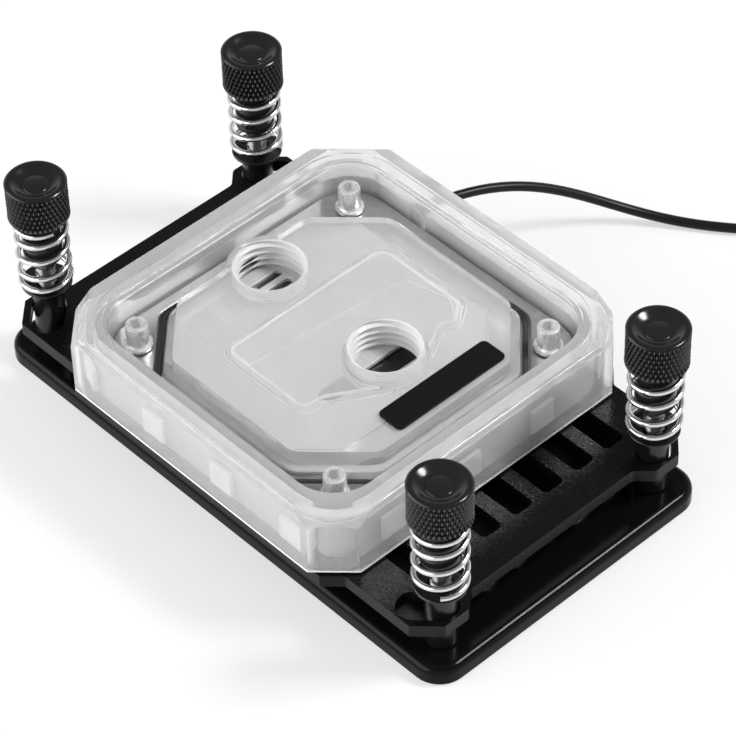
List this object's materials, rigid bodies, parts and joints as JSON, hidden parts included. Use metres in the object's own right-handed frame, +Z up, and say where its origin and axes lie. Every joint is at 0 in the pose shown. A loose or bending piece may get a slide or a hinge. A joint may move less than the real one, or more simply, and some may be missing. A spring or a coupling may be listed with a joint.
{
  "type": "cpu water block",
  "caption": "Liquid cooling block for a processor, with clear octagonal top, lit acrylic ring, sprung thumb screws, mounting bracket and backplate.",
  "frame": {"origin": "centre of the backplate's underside, on the table", "axes": "+X along the backplate's long side towards the label, +Y towards the side where the cord leaves, +Z up"},
  "size_m": [0.1163, 0.1326, 0.0394],
  "materials": {
    "gloss_black_steel": "gloss black",
    "satin_black_steel": "satin black",
    "black_oxide": "black oxide, satin",
    "black_anodised": "black anodised, satin",
    "nickel": "satin nickel",
    "nickel_plated_copper": "nickel plate on copper",
    "stainless": "satin",
    "chrome": "polished",
    "rubber": "matte",
    "clear_acrylic": "polished clear",
    "frosted_acrylic": "lightly frosted, clear",
    "strip_white": "matte",
    "chip_white": "satin",
    "label_black": "satin",
    "cord_black": "satin",
    "plug_black": "satin"
  },
  "bodies": {
    "block": {"backplate": "gloss_black_steel", "mounting_bracket": "satin_black_steel", "cold_plate": "nickel_plated_copper", "jet_plate": "stainless", "acrylic_top": "clear_acrylic", "o_ring": "rubber", "clamp_frame": "nickel", "light_ring": "frosted_acrylic", "led_strip": "strip_white", "label_plate": "label_black", "cord_gland": "rubber", "led_cord": "cord_black", "cord_coil": "cord_black", "led_connector": "plug_black", "standoff_front": "black_oxide", "clamp_screw_front": "chrome", "spring_washer_front": "black_oxide", "spring_front": "chrome", "standoff_right": "black_oxide", "clamp_screw_right": "chrome", "spring_washer_right": "black_oxide", "spring_right": "chrome", "standoff_back": "black_oxide", "clamp_screw_back": "chrome", "spring_washer_back": "black_oxide", "spring_back": "chrome", "standoff_left": "black_oxide", "clamp_screw_left": "chrome", "spring_washer_left": "black_oxide", "spring_left": "chrome", "led_chip_01": "chip_white", "led_chip_02": "chip_white", "led_chip_03": "chip_white", "led_chip_04": "chip_white", "led_chip_05": "chip_white", "led_chip_06": "chip_white", "led_chip_07": "chip_white", "led_chip_08": "chip_white", "led_chip_09": "chip_white", "led_chip_10": "chip_white", "led_chip_11": "chip_white", "led_chip_12": "chip_white", "led_chip_13": "chip_white", "led_chip_14": "chip_white"},
    "thumb_front": {"thumb_screw_front": "black_anodised"},
    "thumb_right": {"thumb_screw_right": "black_anodised"},
    "thumb_back": {"thumb_screw_back": "black_anodised"},
    "thumb_left": {"thumb_screw_left": "black_anodised"}
  },
  "joints": [
    {"name": "thumb_front_turn", "type": "hinge", "parent": "block", "child": "thumb_front", "pos_m": [0.048, -0.024, 0.0314], "axis": [0, 0, 1], "continuous": true},
    {"name": "thumb_right_turn", "type": "hinge", "parent": "block", "child": "thumb_right", "pos_m": [0.048, 0.024, 0.0314], "axis": [0, 0, 1], "continuous": true},
    {"name": "thumb_back_turn", "type": "hinge", "parent": "block", "child": "thumb_back", "pos_m": [-0.048, 0.024, 0.0314], "axis": [0, 0, 1], "continuous": true},
    {"name": "thumb_left_turn", "type": "hinge", "parent": "block", "child": "thumb_left", "pos_m": [-0.048, -0.024, 0.0314], "axis": [0, 0, 1], "continuous": true}
  ]
}
